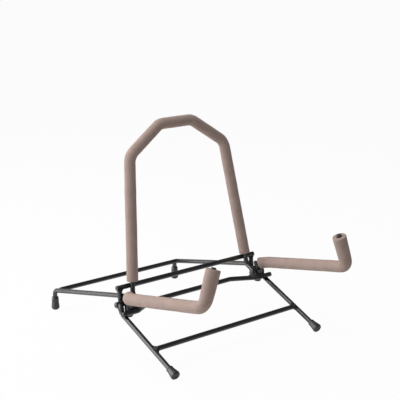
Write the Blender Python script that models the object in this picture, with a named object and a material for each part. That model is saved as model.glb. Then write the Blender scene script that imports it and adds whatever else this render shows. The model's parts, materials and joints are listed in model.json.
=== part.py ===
"""Folding guitar stand bent from round steel bar, with foam sleeves on its arms and back rest.

Metres, +Z up, front towards -Y, left towards -X. The origin is the centre of the footprint on the
floor. Three frames turn on one hinge line across the stand: the back rest with the lower cross rod,
the front legs and the rear frame. Each arm swings on its own upright pivot pin.
"""

import math

import bmesh
import bpy
from mathutils import Vector

MM = 0.001

# Bar stock and fits
ROD_DIAMETER = 7.94 * MM
ROD_END_CHAMFER = 0.6 * MM
WELD_GAP = 0.3 * MM
RUNNING_GAP = 0.3 * MM
FOAM_BORE_GAP = 0.3 * MM
FOAM_EDGE = 1.2 * MM

# Hinge line shared by the three frames
HINGE_Y = -4.0 * MM
HINGE_Z = 75.0 * MM
LINK_X = 138.2 * MM
BARREL_DIAMETER = 9.4 * MM
BARREL_LENGTH = 8.4 * MM
BARREL_WELD_DEPTH = 0.6 * MM
HINGE_SHAFT_DIAMETER = 4.8 * MM
HINGE_WASHER_DIAMETER = 10.6 * MM
HINGE_WASHER_THICKNESS = 0.7 * MM
HINGE_HEAD_DIAMETER = 9.4 * MM
HINGE_HEAD_HEIGHT = 1.8 * MM
HINGE_BOSS_LENGTH = 4.2 * MM

# Arm pivot: upright sleeve, shouldered pin and domed cap
PIVOT_INSET = 3.0 * MM
SLEEVE_DIAMETER = 12.4 * MM
SLEEVE_ABOVE_ROD = 12.2 * MM
SLEEVE_BELOW_ROD = 6.6 * MM
SLEEVE_TO_BARREL_GAP = 0.4 * MM
PIVOT_STEM_DIAMETER = 7.0 * MM
PIVOT_SHOULDER_DIAMETER = 9.0 * MM
PIVOT_SHOULDER_HEIGHT = 3.5 * MM
PIVOT_CAP_DIAMETER = 11.6 * MM
PIVOT_CAP_HEIGHT = 4.2 * MM
PIVOT_STEM_IN_CAP = 1.8 * MM

# Front legs
LEG_KNEE_FORWARD = 13.0 * MM
LEG_KNEE_DROP = 13.9 * MM
LEG_KNEE_RADIUS = 10.0 * MM
LEG_SLOPE = math.radians(22.7)
FRONT_BAR_FORWARD = 79.3 * MM
FRONT_BAR_LIFT = 2.0 * MM
FRONT_TIP_LENGTH = 18.8 * MM
FRONT_TIP_TOP_DIAMETER = 11.0 * MM
FRONT_TIP_FOOT_DIAMETER = 15.2 * MM
FRONT_TIP_END_DIAMETER = 9.4 * MM
FRONT_TIP_END_ROUND = 3.2 * MM
FRONT_TIP_END_TAPER = 1.1 * MM
FRONT_TIP_WALL = 4.2 * MM
FRONT_TIP_FLAT_DEPTH = 0.7 * MM

# Lower cross rod
LOWER_ROD_OVERHANG = 7.6 * MM
JOG_OUTER_X = 126.4 * MM
JOG_INNER_X = 84.0 * MM
JOG_DEPTH = 23.0 * MM
JOG_RADIUS = 12.0 * MM

# Rear frame
UPPER_ROD_BACK = 10.4 * MM
UPPER_ROD_RISE = 22.8 * MM
UPPER_ROD_OVERHANG = 5.8 * MM
LINK_TAIL = 5.0 * MM
SIDE_ROD_START_BACK = 4.2 * MM
SIDE_ROD_START_RISE = 9.1 * MM
SIDE_ROD_FALL = math.radians(13.0)
SIDE_ROD_SPREAD = 1.6 * MM
REAR_FOOT_Y = 213.9 * MM
REAR_CORNER_RADIUS = 9.0 * MM
REAR_BAR_SETBACK = 12.5 * MM
REAR_BAR_LIFT = 1.2 * MM
REAR_TIP_HEIGHT = 23.4 * MM
REAR_TIP_TOP_DIAMETER = 10.6 * MM
REAR_TIP_FOOT_DIAMETER = 14.4 * MM
REAR_TIP_FLAT_DIAMETER = 8.0 * MM
REAR_TIP_ROUND = 4.2 * MM
REAR_TIP_END_TAPER = 1.0 * MM
REAR_TIP_WAIST_HEIGHT = 12.8 * MM
REAR_TIP_WAIST_INSET = 1.0 * MM
REAR_TIP_WALL = 5.0 * MM

# Back rest
BACKREST_LEAN = math.radians(9.5)
ARCH_FOOT_INSET = 18.2 * MM
ARCH_FOOT_RISE = 7.7 * MM
ARCH_FOOT_RADIUS = 7.0 * MM
ARCH_HEEL_INSET = 18.2 * MM
ARCH_HEEL_BELOW_UPPER_ROD = 11.5 * MM
ARCH_HEEL_RADIUS = 9.0 * MM
ARCH_SHOULDER_X = 96.4 * MM
ARCH_SHOULDER_Z = 299.0 * MM
ARCH_SHOULDER_RADIUS = 24.0 * MM
ARCH_TOP_X = 32.4 * MM
ARCH_TOP_Z = 341.8 * MM
ARCH_TOP_RADIUS = 24.0 * MM
ARCH_FOAM_BOTTOM_Z = 105.9 * MM
ARCH_FOAM_DIAMETER = 18.2 * MM

# Arms
ARM_RISE = math.radians(11.9)
ARM_TAIL = 7.0 * MM
ARM_SPLAY_ANGLE = math.radians(36.0)
ARM_SPLAY_OFFSET = 10.3 * MM
ARM_SPLAY_RADIUS = 8.0 * MM
ARM_ELBOW_Y = -211.7 * MM
ARM_ELBOW_RADIUS = 16.0 * MM
ARM_TIP_RISE = 53.0 * MM
ARM_TIP_LEAN_IN = 18.6 * MM
ARM_TIP_LEAN_BACK = 2.0 * MM
ARM_ROD_PROUD = 2.8 * MM
ARM_FOAM_DIAMETER = 18.9 * MM
ARM_FOAM_END_DIAMETER = 22.0 * MM
ARM_FOAM_TO_PIVOT_PIN = 0.5 * MM

# Mesh fineness
ROD_SIDES = 16
FOAM_SIDES = 18
TURNED_SIDES = 20
PIN_SIDES = 16
BEND_STEP = math.radians(13.0)
DOME_STEPS = 4
DOME_SPAN = math.radians(83.0)
SHARP_EDGE = math.radians(35.0)

# Fits worked out from the sizes above
ROD_RADIUS = ROD_DIAMETER / 2
FOAM_BORE_RADIUS = ROD_RADIUS + FOAM_BORE_GAP
BARREL_RADIUS = BARREL_DIAMETER / 2
BARREL_BORE_RADIUS = HINGE_SHAFT_DIAMETER / 2 + RUNNING_GAP
SLEEVE_RADIUS = SLEEVE_DIAMETER / 2
STEM_RADIUS = PIVOT_STEM_DIAMETER / 2

WASHER_INNER_X = LINK_X + BARREL_LENGTH / 2 + RUNNING_GAP
WASHER_OUTER_X = WASHER_INNER_X + HINGE_WASHER_THICKNESS
LEG_X = WASHER_OUTER_X + RUNNING_GAP + BARREL_LENGTH / 2
SIDE_ROD_X = LINK_X - ROD_DIAMETER - WELD_GAP
PIVOT_X = LINK_X - PIVOT_INSET

PIVOT_TO_HINGE = SLEEVE_RADIUS + SLEEVE_TO_BARREL_GAP + BARREL_RADIUS
PIVOT_Y = HINGE_Y - PIVOT_TO_HINGE
LOWER_ROD_Y = PIVOT_Y - SLEEVE_RADIUS - WELD_GAP - ROD_RADIUS

LEG_KNEE_Y = HINGE_Y - LEG_KNEE_FORWARD
LEG_KNEE_Z = HINGE_Z - LEG_KNEE_DROP
BOSS_OUTER_X = LINK_X - BARREL_LENGTH / 2 - RUNNING_GAP

UPPER_ROD_Y = HINGE_Y + UPPER_ROD_BACK
UPPER_ROD_Z = HINGE_Z + UPPER_ROD_RISE
LINK_TO_HINGE = BARREL_RADIUS + ROD_RADIUS - BARREL_WELD_DEPTH
LINK_LEAN = math.atan2(UPPER_ROD_BACK, UPPER_ROD_RISE) - math.asin(
    LINK_TO_HINGE / math.hypot(UPPER_ROD_BACK, UPPER_ROD_RISE)
)
SIDE_ROD_START_Y = HINGE_Y + SIDE_ROD_START_BACK
SIDE_ROD_START_Z = HINGE_Z + SIDE_ROD_START_RISE


def leg_height(y):
    """Height of a front leg's centre line below its knee."""
    return LEG_KNEE_Z - math.tan(LEG_SLOPE) * (LEG_KNEE_Y - y)


def side_rod_height(y):
    """Height of a side rod's centre line."""
    return SIDE_ROD_START_Z - math.tan(SIDE_ROD_FALL) * (y - SIDE_ROD_START_Y)


def backrest_y(z):
    """Depth of the back-rest bar, which leans against the upper cross rod's front."""
    contact = UPPER_ROD_Y - (ROD_DIAMETER + RUNNING_GAP) / math.cos(BACKREST_LEAN)
    return contact + math.tan(BACKREST_LEAN) * (z - UPPER_ROD_Z)


# The lower cross rod lies on the front legs, which stops them.
LOWER_ROD_Z = leg_height(LOWER_ROD_Y) + (ROD_DIAMETER + RUNNING_GAP) / math.cos(LEG_SLOPE)
LOWER_ROD_MIDDLE_Y = LOWER_ROD_Y + JOG_DEPTH

# Each arm lies on its pivot pin, whose shoulder turns on the sleeve.
SLEEVE_TOP_Z = LOWER_ROD_Z + SLEEVE_ABOVE_ROD
SLEEVE_BOTTOM_Z = LOWER_ROD_Z - SLEEVE_BELOW_ROD
SHOULDER_RADIUS = PIVOT_SHOULDER_DIAMETER / 2
SHOULDER_TOP_Z = SLEEVE_TOP_Z + RUNNING_GAP + PIVOT_SHOULDER_HEIGHT
ARM_ABOVE_SHOULDER = ROD_RADIUS / math.cos(ARM_RISE) + SHOULDER_RADIUS * math.tan(ARM_RISE)
ARM_HEIGHT_AT_PIVOT = SHOULDER_TOP_Z + WELD_GAP + ARM_ABOVE_SHOULDER


def arm_height(y):
    """Height of an arm's centre line before its elbow."""
    return ARM_HEIGHT_AT_PIVOT + math.tan(ARM_RISE) * (PIVOT_Y - y)


def jog_y(x):
    """Depth of the lower cross rod between its outer and inner bends."""
    return LOWER_ROD_Y + JOG_DEPTH * (JOG_OUTER_X - x) / (JOG_OUTER_X - JOG_INNER_X)


def clear_scene():
    for old in list(bpy.data.objects):
        bpy.data.objects.remove(old, do_unlink=True)


def principled(name, colour, roughness, metallic=0.0):
    """A material with one Principled surface."""
    made = bpy.data.materials.new(name)
    made.use_nodes = True
    made.diffuse_color = (*colour, 1.0)
    surface = made.node_tree.nodes["Principled BSDF"]
    surface.inputs["Base Color"].default_value = (*colour, 1.0)
    surface.inputs["Roughness"].default_value = roughness
    surface.inputs["Metallic"].default_value = metallic
    return made


def frame_origin(name, location):
    """An empty that carries the pieces of one frame."""
    empty = bpy.data.objects.new(name, None)
    empty.location = location
    bpy.context.scene.collection.objects.link(empty)
    return empty


def bent_path(corners, radii):
    """Centre line through corner points with an arc in each inner corner, as (point, heading) pairs."""
    points = [Vector(corner) for corner in corners]
    first_heading = (points[1] - points[0]).normalized()
    path = [(points[0], first_heading)]
    for before, corner, after, radius in zip(points, points[1:], points[2:], radii):
        arriving = (corner - before).normalized()
        leaving = (after - corner).normalized()
        turn = arriving.angle(leaving)
        start = corner - arriving * radius * math.tan(turn / 2)
        inward = (leaving - arriving * arriving.dot(leaving)).normalized()
        centre = start + inward * radius
        steps = max(2, math.ceil(turn / BEND_STEP))
        for step in range(steps + 1):
            angle = turn * step / steps
            point = centre - inward * radius * math.cos(angle) + arriving * radius * math.sin(angle)
            heading = arriving * math.cos(angle) + inward * math.sin(angle)
            path.append((point, heading))
    last_heading = (points[-1] - points[-2]).normalized()
    path.append((points[-1], last_heading))
    return path


def trimmed_ends(path, radius, end_radius, edge):
    """The path as (point, heading, radius) with both ends narrowed by an edge chamfer.

    The last straight run widens evenly to the end radius.
    """
    first, first_heading = path[0]
    last, last_heading = path[-1]
    inner = [(point, heading, radius) for point, heading in path[1:-1]]
    start = [(first, first_heading, radius - edge), (first + first_heading * edge, first_heading, radius)]
    end = [(last - last_heading * edge, last_heading, end_radius), (last, last_heading, end_radius - edge)]
    return start + inner + end


def section_rings(stations, sides):
    """Round sections carried along (point, heading, radius) stations without twisting."""
    heading = stations[0][1]
    across = heading.orthogonal().normalized()
    rings = []
    for point, next_heading, radius in stations:
        across = heading.rotation_difference(next_heading) @ across
        heading = next_heading
        upward = heading.cross(across)
        ring = []
        for index in range(sides):
            angle = 2 * math.pi * index / sides
            ring.append(point + (across * math.cos(angle) + upward * math.sin(angle)) * radius)
        rings.append(ring)
    return rings


def add_body(name, rings, frame, material, hollow=False):
    """One closed body lofted through rings; a hollow one joins its last ring to its first."""
    origin = frame.location if frame else Vector((0, 0, 0))
    shape = bmesh.new()
    loops = [[shape.verts.new(point - origin) for point in ring] for ring in rings]
    spans = list(zip(loops, loops[1:]))
    if hollow:
        spans.append((loops[-1], loops[0]))
    else:
        shape.faces.new(loops[0])
        shape.faces.new(loops[-1])
    for near, far in spans:
        for index in range(len(near)):
            following = (index + 1) % len(near)
            shape.faces.new((near[index], near[following], far[following], far[index]))
    bmesh.ops.recalc_face_normals(shape, faces=shape.faces)
    mesh = bpy.data.meshes.new(name)
    shape.to_mesh(mesh)
    shape.free()
    mesh.shade_smooth()
    mesh.set_sharp_from_angle(angle=SHARP_EDGE)
    if material:
        mesh.materials.append(material)
    body = bpy.data.objects.new(name, mesh)
    body.parent = frame
    bpy.context.scene.collection.objects.link(body)
    return body


def add_rod(name, path, frame, material):
    """A solid bar with chamfered ends along a path."""
    stations = trimmed_ends(path, ROD_RADIUS, ROD_RADIUS, ROD_END_CHAMFER)
    return add_body(name, section_rings(stations, ROD_SIDES), frame, material)


def add_foam(name, path, diameter, end_diameter, frame, material):
    """A foam tube along a path, with softened outer edges and an open bore."""
    outside = section_rings(trimmed_ends(path, diameter / 2, end_diameter / 2, FOAM_EDGE), FOAM_SIDES)
    bore = section_rings([(point, heading, FOAM_BORE_RADIUS) for point, heading in path], FOAM_SIDES)
    return add_body(name, outside + bore[::-1], frame, material, hollow=True)


def add_turned(name, base, axis, profile, frame, material, sides=TURNED_SIDES, hollow=False):
    """A piece turned about an axis: the profile lists (distance along the axis, radius)."""
    axis = Vector(axis).normalized()
    stations = [(Vector(base) + axis * along, axis, radius) for along, radius in profile]
    return add_body(name, section_rings(stations, sides), frame, material, hollow)


def dome_profile(start, height, radius):
    """Profile of a shallow dome that rises along the axis from its rim."""
    profile = []
    for step in range(DOME_STEPS + 1):
        angle = DOME_SPAN * step / DOME_STEPS
        profile.append((start + height * math.sin(angle), radius * math.cos(angle)))
    return profile


def as_guide(body):
    """Marks a body that only shapes others."""
    body.hide_render = True
    body.display_type = "WIRE"
    return body


def combine(target, other, operation):
    """Adds or removes the other body's volume."""
    modifier = target.modifiers.new(other.name, "BOOLEAN")
    modifier.operation = operation
    modifier.solver = "EXACT"
    modifier.object = as_guide(other)


def add_barrel(bar, name, x, frame):
    """Welds a bored hinge barrel to a bar."""
    start = (x - BARREL_LENGTH / 2, HINGE_Y, HINGE_Z)
    barrel_profile = [(0, BARREL_RADIUS), (BARREL_LENGTH, BARREL_RADIUS)]
    bore_profile = [(-BARREL_LENGTH, BARREL_BORE_RADIUS), (2 * BARREL_LENGTH, BARREL_BORE_RADIUS)]
    barrel = add_turned(name + "_barrel", start, (1, 0, 0), barrel_profile, frame, None)
    bore = add_turned(name + "_bore", start, (1, 0, 0), bore_profile, frame, None, sides=PIN_SIDES)
    combine(bar, barrel, "UNION")
    combine(bar, bore, "DIFFERENCE")


def make_backrest(coat, foam):
    """Back-rest bar, its foam sleeve and the lower cross rod that it stands on."""
    heel_z = UPPER_ROD_Z - ARCH_HEEL_BELOW_UPPER_ROD
    foot_x = LINK_X - ARCH_FOOT_INSET
    foot_z = LOWER_ROD_Z + ROD_RADIUS + WELD_GAP
    heel = Vector((LINK_X - ARCH_HEEL_INSET, backrest_y(heel_z), heel_z))
    shoulder = Vector((ARCH_SHOULDER_X, backrest_y(ARCH_SHOULDER_Z), ARCH_SHOULDER_Z))
    top = Vector((ARCH_TOP_X, backrest_y(ARCH_TOP_Z), ARCH_TOP_Z))
    right_side = [
        Vector((foot_x, jog_y(foot_x), foot_z)),
        Vector((foot_x, jog_y(foot_x), foot_z + ARCH_FOOT_RISE)),
        heel,
        shoulder,
        top,
    ]
    side_radii = [ARCH_FOOT_RADIUS, ARCH_HEEL_RADIUS, ARCH_SHOULDER_RADIUS, ARCH_TOP_RADIUS]
    left_side = [Vector((-point.x, point.y, point.z)) for point in reversed(right_side)]
    add_rod("backrest_rod", bent_path(right_side + left_side, side_radii + side_radii[::-1]), None, coat)

    along = (ARCH_FOAM_BOTTOM_Z - heel.z) / (shoulder.z - heel.z)
    foam_right = [heel.lerp(shoulder, along), shoulder, top]
    foam_left = [Vector((-point.x, point.y, point.z)) for point in reversed(foam_right)]
    foam_radii = [ARCH_SHOULDER_RADIUS, ARCH_TOP_RADIUS, ARCH_TOP_RADIUS, ARCH_SHOULDER_RADIUS]
    foam_path = bent_path(foam_right + foam_left, foam_radii)
    add_foam("backrest_foam", foam_path, ARCH_FOAM_DIAMETER, ARCH_FOAM_DIAMETER, None, foam)

    end_x = LEG_X + LOWER_ROD_OVERHANG
    corners = [
        (end_x, LOWER_ROD_Y, LOWER_ROD_Z),
        (JOG_OUTER_X, LOWER_ROD_Y, LOWER_ROD_Z),
        (JOG_INNER_X, LOWER_ROD_MIDDLE_Y, LOWER_ROD_Z),
        (-JOG_INNER_X, LOWER_ROD_MIDDLE_Y, LOWER_ROD_Z),
        (-JOG_OUTER_X, LOWER_ROD_Y, LOWER_ROD_Z),
        (-end_x, LOWER_ROD_Y, LOWER_ROD_Z),
    ]
    add_rod("lower_cross_rod", bent_path(corners, [JOG_RADIUS] * 4), None, coat)


def make_hinge(side_name, side, coat):
    """Hinge pin with its welded boss and domed head, and the washer between the two barrels."""
    chord_offset = LINK_X - PIVOT_INSET - BOSS_OUTER_X
    half_chord = math.sqrt(SLEEVE_RADIUS ** 2 - chord_offset ** 2)
    boss_radius = PIVOT_TO_HINGE - half_chord - WELD_GAP
    shaft_radius = HINGE_SHAFT_DIAMETER / 2
    head_start = LEG_X + BARREL_LENGTH / 2 + RUNNING_GAP
    profile = [
        (BOSS_OUTER_X - HINGE_BOSS_LENGTH, boss_radius),
        (BOSS_OUTER_X, boss_radius),
        (BOSS_OUTER_X, shaft_radius),
        (head_start, shaft_radius),
    ]
    profile += dome_profile(head_start, HINGE_HEAD_HEIGHT, HINGE_HEAD_DIAMETER / 2)
    centre = (0, HINGE_Y, HINGE_Z)
    add_turned("hinge_pin_" + side_name, centre, (side, 0, 0), profile, None, coat, sides=PIN_SIDES)

    washer_radius = HINGE_WASHER_DIAMETER / 2
    ring = [
        (WASHER_INNER_X, BARREL_BORE_RADIUS),
        (WASHER_INNER_X, washer_radius),
        (WASHER_OUTER_X, washer_radius),
        (WASHER_OUTER_X, BARREL_BORE_RADIUS),
    ]
    add_turned("hinge_washer_" + side_name, centre, (side, 0, 0), ring, None, coat, hollow=True)


def make_pivot_sleeve(side_name, side, coat):
    """Upright sleeve welded behind the lower cross rod's end."""
    length = SLEEVE_TOP_Z - SLEEVE_BOTTOM_Z
    bore = STEM_RADIUS + RUNNING_GAP
    profile = [(0, bore), (0, SLEEVE_RADIUS), (length, SLEEVE_RADIUS), (length, bore)]
    base = (side * PIVOT_X, PIVOT_Y, SLEEVE_BOTTOM_Z)
    add_turned("pivot_sleeve_" + side_name, base, (0, 0, 1), profile, None, coat, hollow=True)


def make_front_frame(coat, rubber):
    """Front legs with their hinge barrels, the crossbar between them and the rubber tips."""
    frame = frame_origin("front_frame", (0, HINGE_Y, HINGE_Z))
    slope = Vector((0, -math.cos(LEG_SLOPE), -math.sin(LEG_SLOPE)))
    foot_radius = FRONT_TIP_FOOT_DIAMETER / 2
    foot_along = FRONT_TIP_LENGTH - FRONT_TIP_END_ROUND
    foot_z = foot_radius * math.cos(LEG_SLOPE) - FRONT_TIP_FLAT_DEPTH
    tip_start_z = foot_z + foot_along * math.sin(LEG_SLOPE)
    tip_start_y = LEG_KNEE_Y - (LEG_KNEE_Z - tip_start_z) / math.tan(LEG_SLOPE)
    rod_in_tip = FRONT_TIP_LENGTH - FRONT_TIP_WALL

    floor_radius = FRONT_TIP_LENGTH + foot_radius
    floor_profile = [(0, floor_radius), (FRONT_TIP_LENGTH, floor_radius)]
    floor_base = (0, tip_start_y, -FRONT_TIP_LENGTH)
    for side_name, side in (("left", -1), ("right", 1)):
        knee = Vector((side * LEG_X, LEG_KNEE_Y, LEG_KNEE_Z))
        tip_start = Vector((side * LEG_X, tip_start_y, tip_start_z))
        corners = [(side * LEG_X, HINGE_Y, HINGE_Z), knee, tip_start + slope * rod_in_tip]
        leg_name = "front_leg_" + side_name
        leg = add_rod(leg_name, bent_path(corners, [LEG_KNEE_RADIUS]), frame, coat)
        add_barrel(leg, leg_name, side * LEG_X, frame)

        bore = ROD_RADIUS + WELD_GAP
        tip_profile = [
            (rod_in_tip + WELD_GAP, bore),
            (0, bore),
            (0, FRONT_TIP_TOP_DIAMETER / 2),
            (foot_along, foot_radius),
            (FRONT_TIP_LENGTH - FRONT_TIP_END_ROUND / 2, foot_radius - FRONT_TIP_END_TAPER),
            (FRONT_TIP_LENGTH, FRONT_TIP_END_DIAMETER / 2),
        ]
        tip_name = "front_foot_tip_" + side_name
        tip = add_turned(tip_name, tip_start, slope, tip_profile, frame, rubber)
        base = Vector(floor_base) + Vector((side * LEG_X, 0, 0))
        floor_cut = add_turned(tip_name + "_floor", base, (0, 0, 1), floor_profile, frame, None)
        combine(tip, floor_cut, "DIFFERENCE")

    bar_y = LEG_KNEE_Y - FRONT_BAR_FORWARD
    bar_z = leg_height(bar_y) + FRONT_BAR_LIFT
    bar_x = LEG_X - ROD_RADIUS - WELD_GAP
    add_rod("front_crossbar", bent_path([(-bar_x, bar_y, bar_z), (bar_x, bar_y, bar_z)], []), frame, coat)


def make_rear_frame(coat, rubber):
    """Upper cross rod, links, side rods with turned-down feet, rear crossbar and rubber tips."""
    frame = frame_origin("rear_frame", (0, HINGE_Y, HINGE_Z))
    half = LINK_X + UPPER_ROD_OVERHANG
    ends = [(-half, UPPER_ROD_Y, UPPER_ROD_Z), (half, UPPER_ROD_Y, UPPER_ROD_Z)]
    add_rod("upper_cross_rod", bent_path(ends, []), frame, coat)

    corner_z = side_rod_height(REAR_FOOT_Y)
    corner_x = SIDE_ROD_X + SIDE_ROD_SPREAD
    for side_name, side in (("left", -1), ("right", 1)):
        upright = Vector((0, math.sin(LINK_LEAN), math.cos(LINK_LEAN)))
        upper = Vector((side * LINK_X, UPPER_ROD_Y, UPPER_ROD_Z))
        length = upright.dot((0, UPPER_ROD_BACK, UPPER_ROD_RISE)) + LINK_TAIL
        weld = upper - upright * (ROD_RADIUS + WELD_GAP)
        link_name = "link_" + side_name
        link = add_rod(link_name, bent_path([upper - upright * length, weld], []), frame, coat)
        add_barrel(link, link_name, side * LINK_X, frame)

        corners = [
            (side * SIDE_ROD_X, SIDE_ROD_START_Y, SIDE_ROD_START_Z),
            (side * corner_x, REAR_FOOT_Y, corner_z),
            (side * corner_x, REAR_FOOT_Y, REAR_TIP_WALL),
        ]
        add_rod("side_rod_" + side_name, bent_path(corners, [REAR_CORNER_RADIUS]), frame, coat)

        bore = ROD_RADIUS + WELD_GAP
        foot_radius = REAR_TIP_FOOT_DIAMETER / 2
        flat_radius = REAR_TIP_FLAT_DIAMETER / 2
        profile = [
            (REAR_TIP_WALL - WELD_GAP, bore),
            (REAR_TIP_HEIGHT, bore),
            (REAR_TIP_HEIGHT, REAR_TIP_TOP_DIAMETER / 2),
            (REAR_TIP_WAIST_HEIGHT, foot_radius - REAR_TIP_WAIST_INSET),
            (REAR_TIP_ROUND, foot_radius),
            (REAR_TIP_ROUND / 2, foot_radius - REAR_TIP_END_TAPER),
            (0, flat_radius),
        ]
        base = (side * corner_x, REAR_FOOT_Y, 0)
        add_turned("rear_foot_tip_" + side_name, base, (0, 0, 1), profile, frame, rubber)

    bar_y = REAR_FOOT_Y - REAR_BAR_SETBACK
    bar_z = side_rod_height(bar_y) + REAR_BAR_LIFT
    along = (bar_y - SIDE_ROD_START_Y) / (REAR_FOOT_Y - SIDE_ROD_START_Y)
    bar_x = SIDE_ROD_X + SIDE_ROD_SPREAD * along - ROD_RADIUS - WELD_GAP
    add_rod("rear_crossbar", bent_path([(-bar_x, bar_y, bar_z), (bar_x, bar_y, bar_z)], []), frame, coat)


def make_arm(side_name, side, coat, foam):
    """Arm bar with its foam sleeve, and the stepped pivot pin and cap that it swings on."""
    frame = frame_origin("arm_" + side_name, (side * PIVOT_X, PIVOT_Y, ARM_HEIGHT_AT_PIVOT))

    def arm_point(x, y):
        return Vector((side * x, y, arm_height(y)))

    tail = arm_point(PIVOT_X, PIVOT_Y + ARM_TAIL)
    splay_start = arm_point(PIVOT_X, PIVOT_Y)
    outer_x = PIVOT_X + ARM_SPLAY_OFFSET
    splay_end = arm_point(outer_x, splay_start.y - ARM_SPLAY_OFFSET / math.tan(ARM_SPLAY_ANGLE))
    elbow = arm_point(outer_x, ARM_ELBOW_Y)
    tip = elbow + Vector((-side * ARM_TIP_LEAN_IN, ARM_TIP_LEAN_BACK, ARM_TIP_RISE))
    radii = [ARM_SPLAY_RADIUS, ARM_SPLAY_RADIUS, ARM_ELBOW_RADIUS]
    rod_end = tip + (tip - elbow).normalized() * ARM_ROD_PROUD
    corners = [tail, splay_start, splay_end, elbow, rod_end]
    add_rod("arm_rod_" + side_name, bent_path(corners, radii), frame, coat)

    foam_start = SHOULDER_RADIUS + ARM_FOAM_TO_PIVOT_PIN
    along = foam_start / ARM_SPLAY_OFFSET * math.sin(ARM_SPLAY_ANGLE)
    foam_corners = [splay_start.lerp(splay_end, along), splay_end, elbow, tip]
    foam_path = bent_path(foam_corners, radii[1:])
    add_foam("arm_foam_" + side_name, foam_path, ARM_FOAM_DIAMETER, ARM_FOAM_END_DIAMETER, frame, foam)

    cap_top = SLEEVE_BOTTOM_Z - RUNNING_GAP
    stem_bottom = cap_top - PIVOT_STEM_IN_CAP
    pivot = Vector((side * PIVOT_X, PIVOT_Y, 0))
    profile = [
        (stem_bottom, STEM_RADIUS),
        (SLEEVE_TOP_Z + RUNNING_GAP, STEM_RADIUS),
        (SLEEVE_TOP_Z + RUNNING_GAP, SHOULDER_RADIUS),
        (SHOULDER_TOP_Z, SHOULDER_RADIUS),
    ]
    add_turned("arm_pivot_pin_" + side_name, pivot, (0, 0, 1), profile, frame, coat)

    bore = STEM_RADIUS + WELD_GAP
    cap_radius = PIVOT_CAP_DIAMETER / 2
    rim = PIVOT_STEM_IN_CAP + WELD_GAP
    dome = dome_profile(rim, PIVOT_CAP_HEIGHT - rim, cap_radius)
    cap_profile = [(rim, bore), (0, bore), (0, cap_radius)] + dome
    cap_base = pivot + Vector((0, 0, cap_top))
    add_turned("arm_pivot_cap_" + side_name, cap_base, (0, 0, -1), cap_profile, frame, coat)


def main():
    clear_scene()
    coat = principled("black_powder_coat", (0.012, 0.012, 0.013), 0.34)
    foam = principled("taupe_foam", (0.300, 0.215, 0.180), 0.85)
    rubber = principled("dark_rubber", (0.020, 0.020, 0.022), 0.70)

    make_backrest(coat, foam)
    make_front_frame(coat, rubber)
    make_rear_frame(coat, rubber)
    for side_name, side in (("left", -1), ("right", 1)):
        make_hinge(side_name, side, coat)
        make_pivot_sleeve(side_name, side, coat)
        make_arm(side_name, side, coat, foam)


main()
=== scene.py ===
"""Looks of the folding guitar stand: foam sleeves, coated bar, weld beads, rubber feet, floor and light.

Metres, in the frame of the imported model: +Z up, the arms point towards -Y.
"""

import json
import math

import bmesh
import bpy
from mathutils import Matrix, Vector, noise


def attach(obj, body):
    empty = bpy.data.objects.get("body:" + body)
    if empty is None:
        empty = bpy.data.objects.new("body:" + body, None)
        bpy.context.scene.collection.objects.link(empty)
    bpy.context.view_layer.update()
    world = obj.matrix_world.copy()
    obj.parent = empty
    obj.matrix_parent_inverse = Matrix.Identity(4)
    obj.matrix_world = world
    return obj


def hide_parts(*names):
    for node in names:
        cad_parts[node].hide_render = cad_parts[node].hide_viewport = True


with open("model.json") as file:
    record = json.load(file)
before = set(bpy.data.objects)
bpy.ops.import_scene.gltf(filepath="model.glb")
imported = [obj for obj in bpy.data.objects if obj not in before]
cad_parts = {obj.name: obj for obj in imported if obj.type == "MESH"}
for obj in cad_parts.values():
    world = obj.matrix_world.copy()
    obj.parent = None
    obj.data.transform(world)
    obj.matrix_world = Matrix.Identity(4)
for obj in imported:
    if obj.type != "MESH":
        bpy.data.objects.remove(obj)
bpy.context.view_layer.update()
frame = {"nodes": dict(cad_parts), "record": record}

MM = 0.001

# Centre lines and fits of the solids
ROD_RADIUS = 3.97 * MM
WELD_GAP = 0.3 * MM
RUNNING_GAP = 0.3 * MM
HINGE_Y = -4.0 * MM
HINGE_Z = 75.0 * MM
LINK_X = 138.2 * MM
LEG_X = 147.9 * MM
SIDE_ROD_X = 129.96 * MM
SIDE_ROD_SPREAD = 1.6 * MM
UPPER_ROD_Y = 6.4 * MM
UPPER_ROD_Z = 97.8 * MM
LINK_LEAN = math.radians(5.73)
SIDE_ROD_START = (0.2 * MM, 84.1 * MM)
SIDE_ROD_FALL = math.radians(13.0)
REAR_FOOT_Y = 213.9 * MM
REAR_BAR = (201.4 * MM, 38.85 * MM)
PIVOT_X = 135.2 * MM
PIVOT_Y = -15.3 * MM
LOWER_ROD_Y = -25.77 * MM
LOWER_ROD_Z = 66.36 * MM
SLEEVE_RADIUS = 6.2 * MM
SLEEVE_BOTTOM_Z = 59.76 * MM
SLEEVE_TOP_Z = 78.56 * MM
BARREL_RADIUS = 4.7 * MM
STEM_RADIUS = 3.5 * MM
JOG_OUTER_X = 126.4 * MM
JOG_INNER_X = 84.0 * MM
JOG_DEPTH = 23.0 * MM
LEG_KNEE = (-17.0 * MM, 61.1 * MM)
LEG_SLOPE = math.radians(22.7)
FRONT_BAR_FORWARD = 79.3 * MM
FRONT_BAR_LIFT = 2.0 * MM
BACKREST_LEAN = math.radians(9.5)
ARCH_FOOT_X = 120.0 * MM
ARCH_HEEL_Z = 86.3 * MM
ARCH_SHOULDER = (96.4 * MM, 299.0 * MM)
ARCH_TOP = (32.4 * MM, 341.8 * MM)
ARCH_RADIUS = 24.0 * MM
ARCH_FOAM_BOTTOM_Z = 105.9 * MM
ARM_HEIGHT = 87.7 * MM
ARM_RISE = math.radians(11.9)
ARM_SPLAY_ANGLE = math.radians(36.0)
ARM_SPLAY_OFFSET = 10.3 * MM
ARM_FOAM_SPLAY_RADIUS = 14.0 * MM
ARM_FOAM_START = 3.4 * MM
ARM_ELBOW_Y = -211.7 * MM
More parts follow.
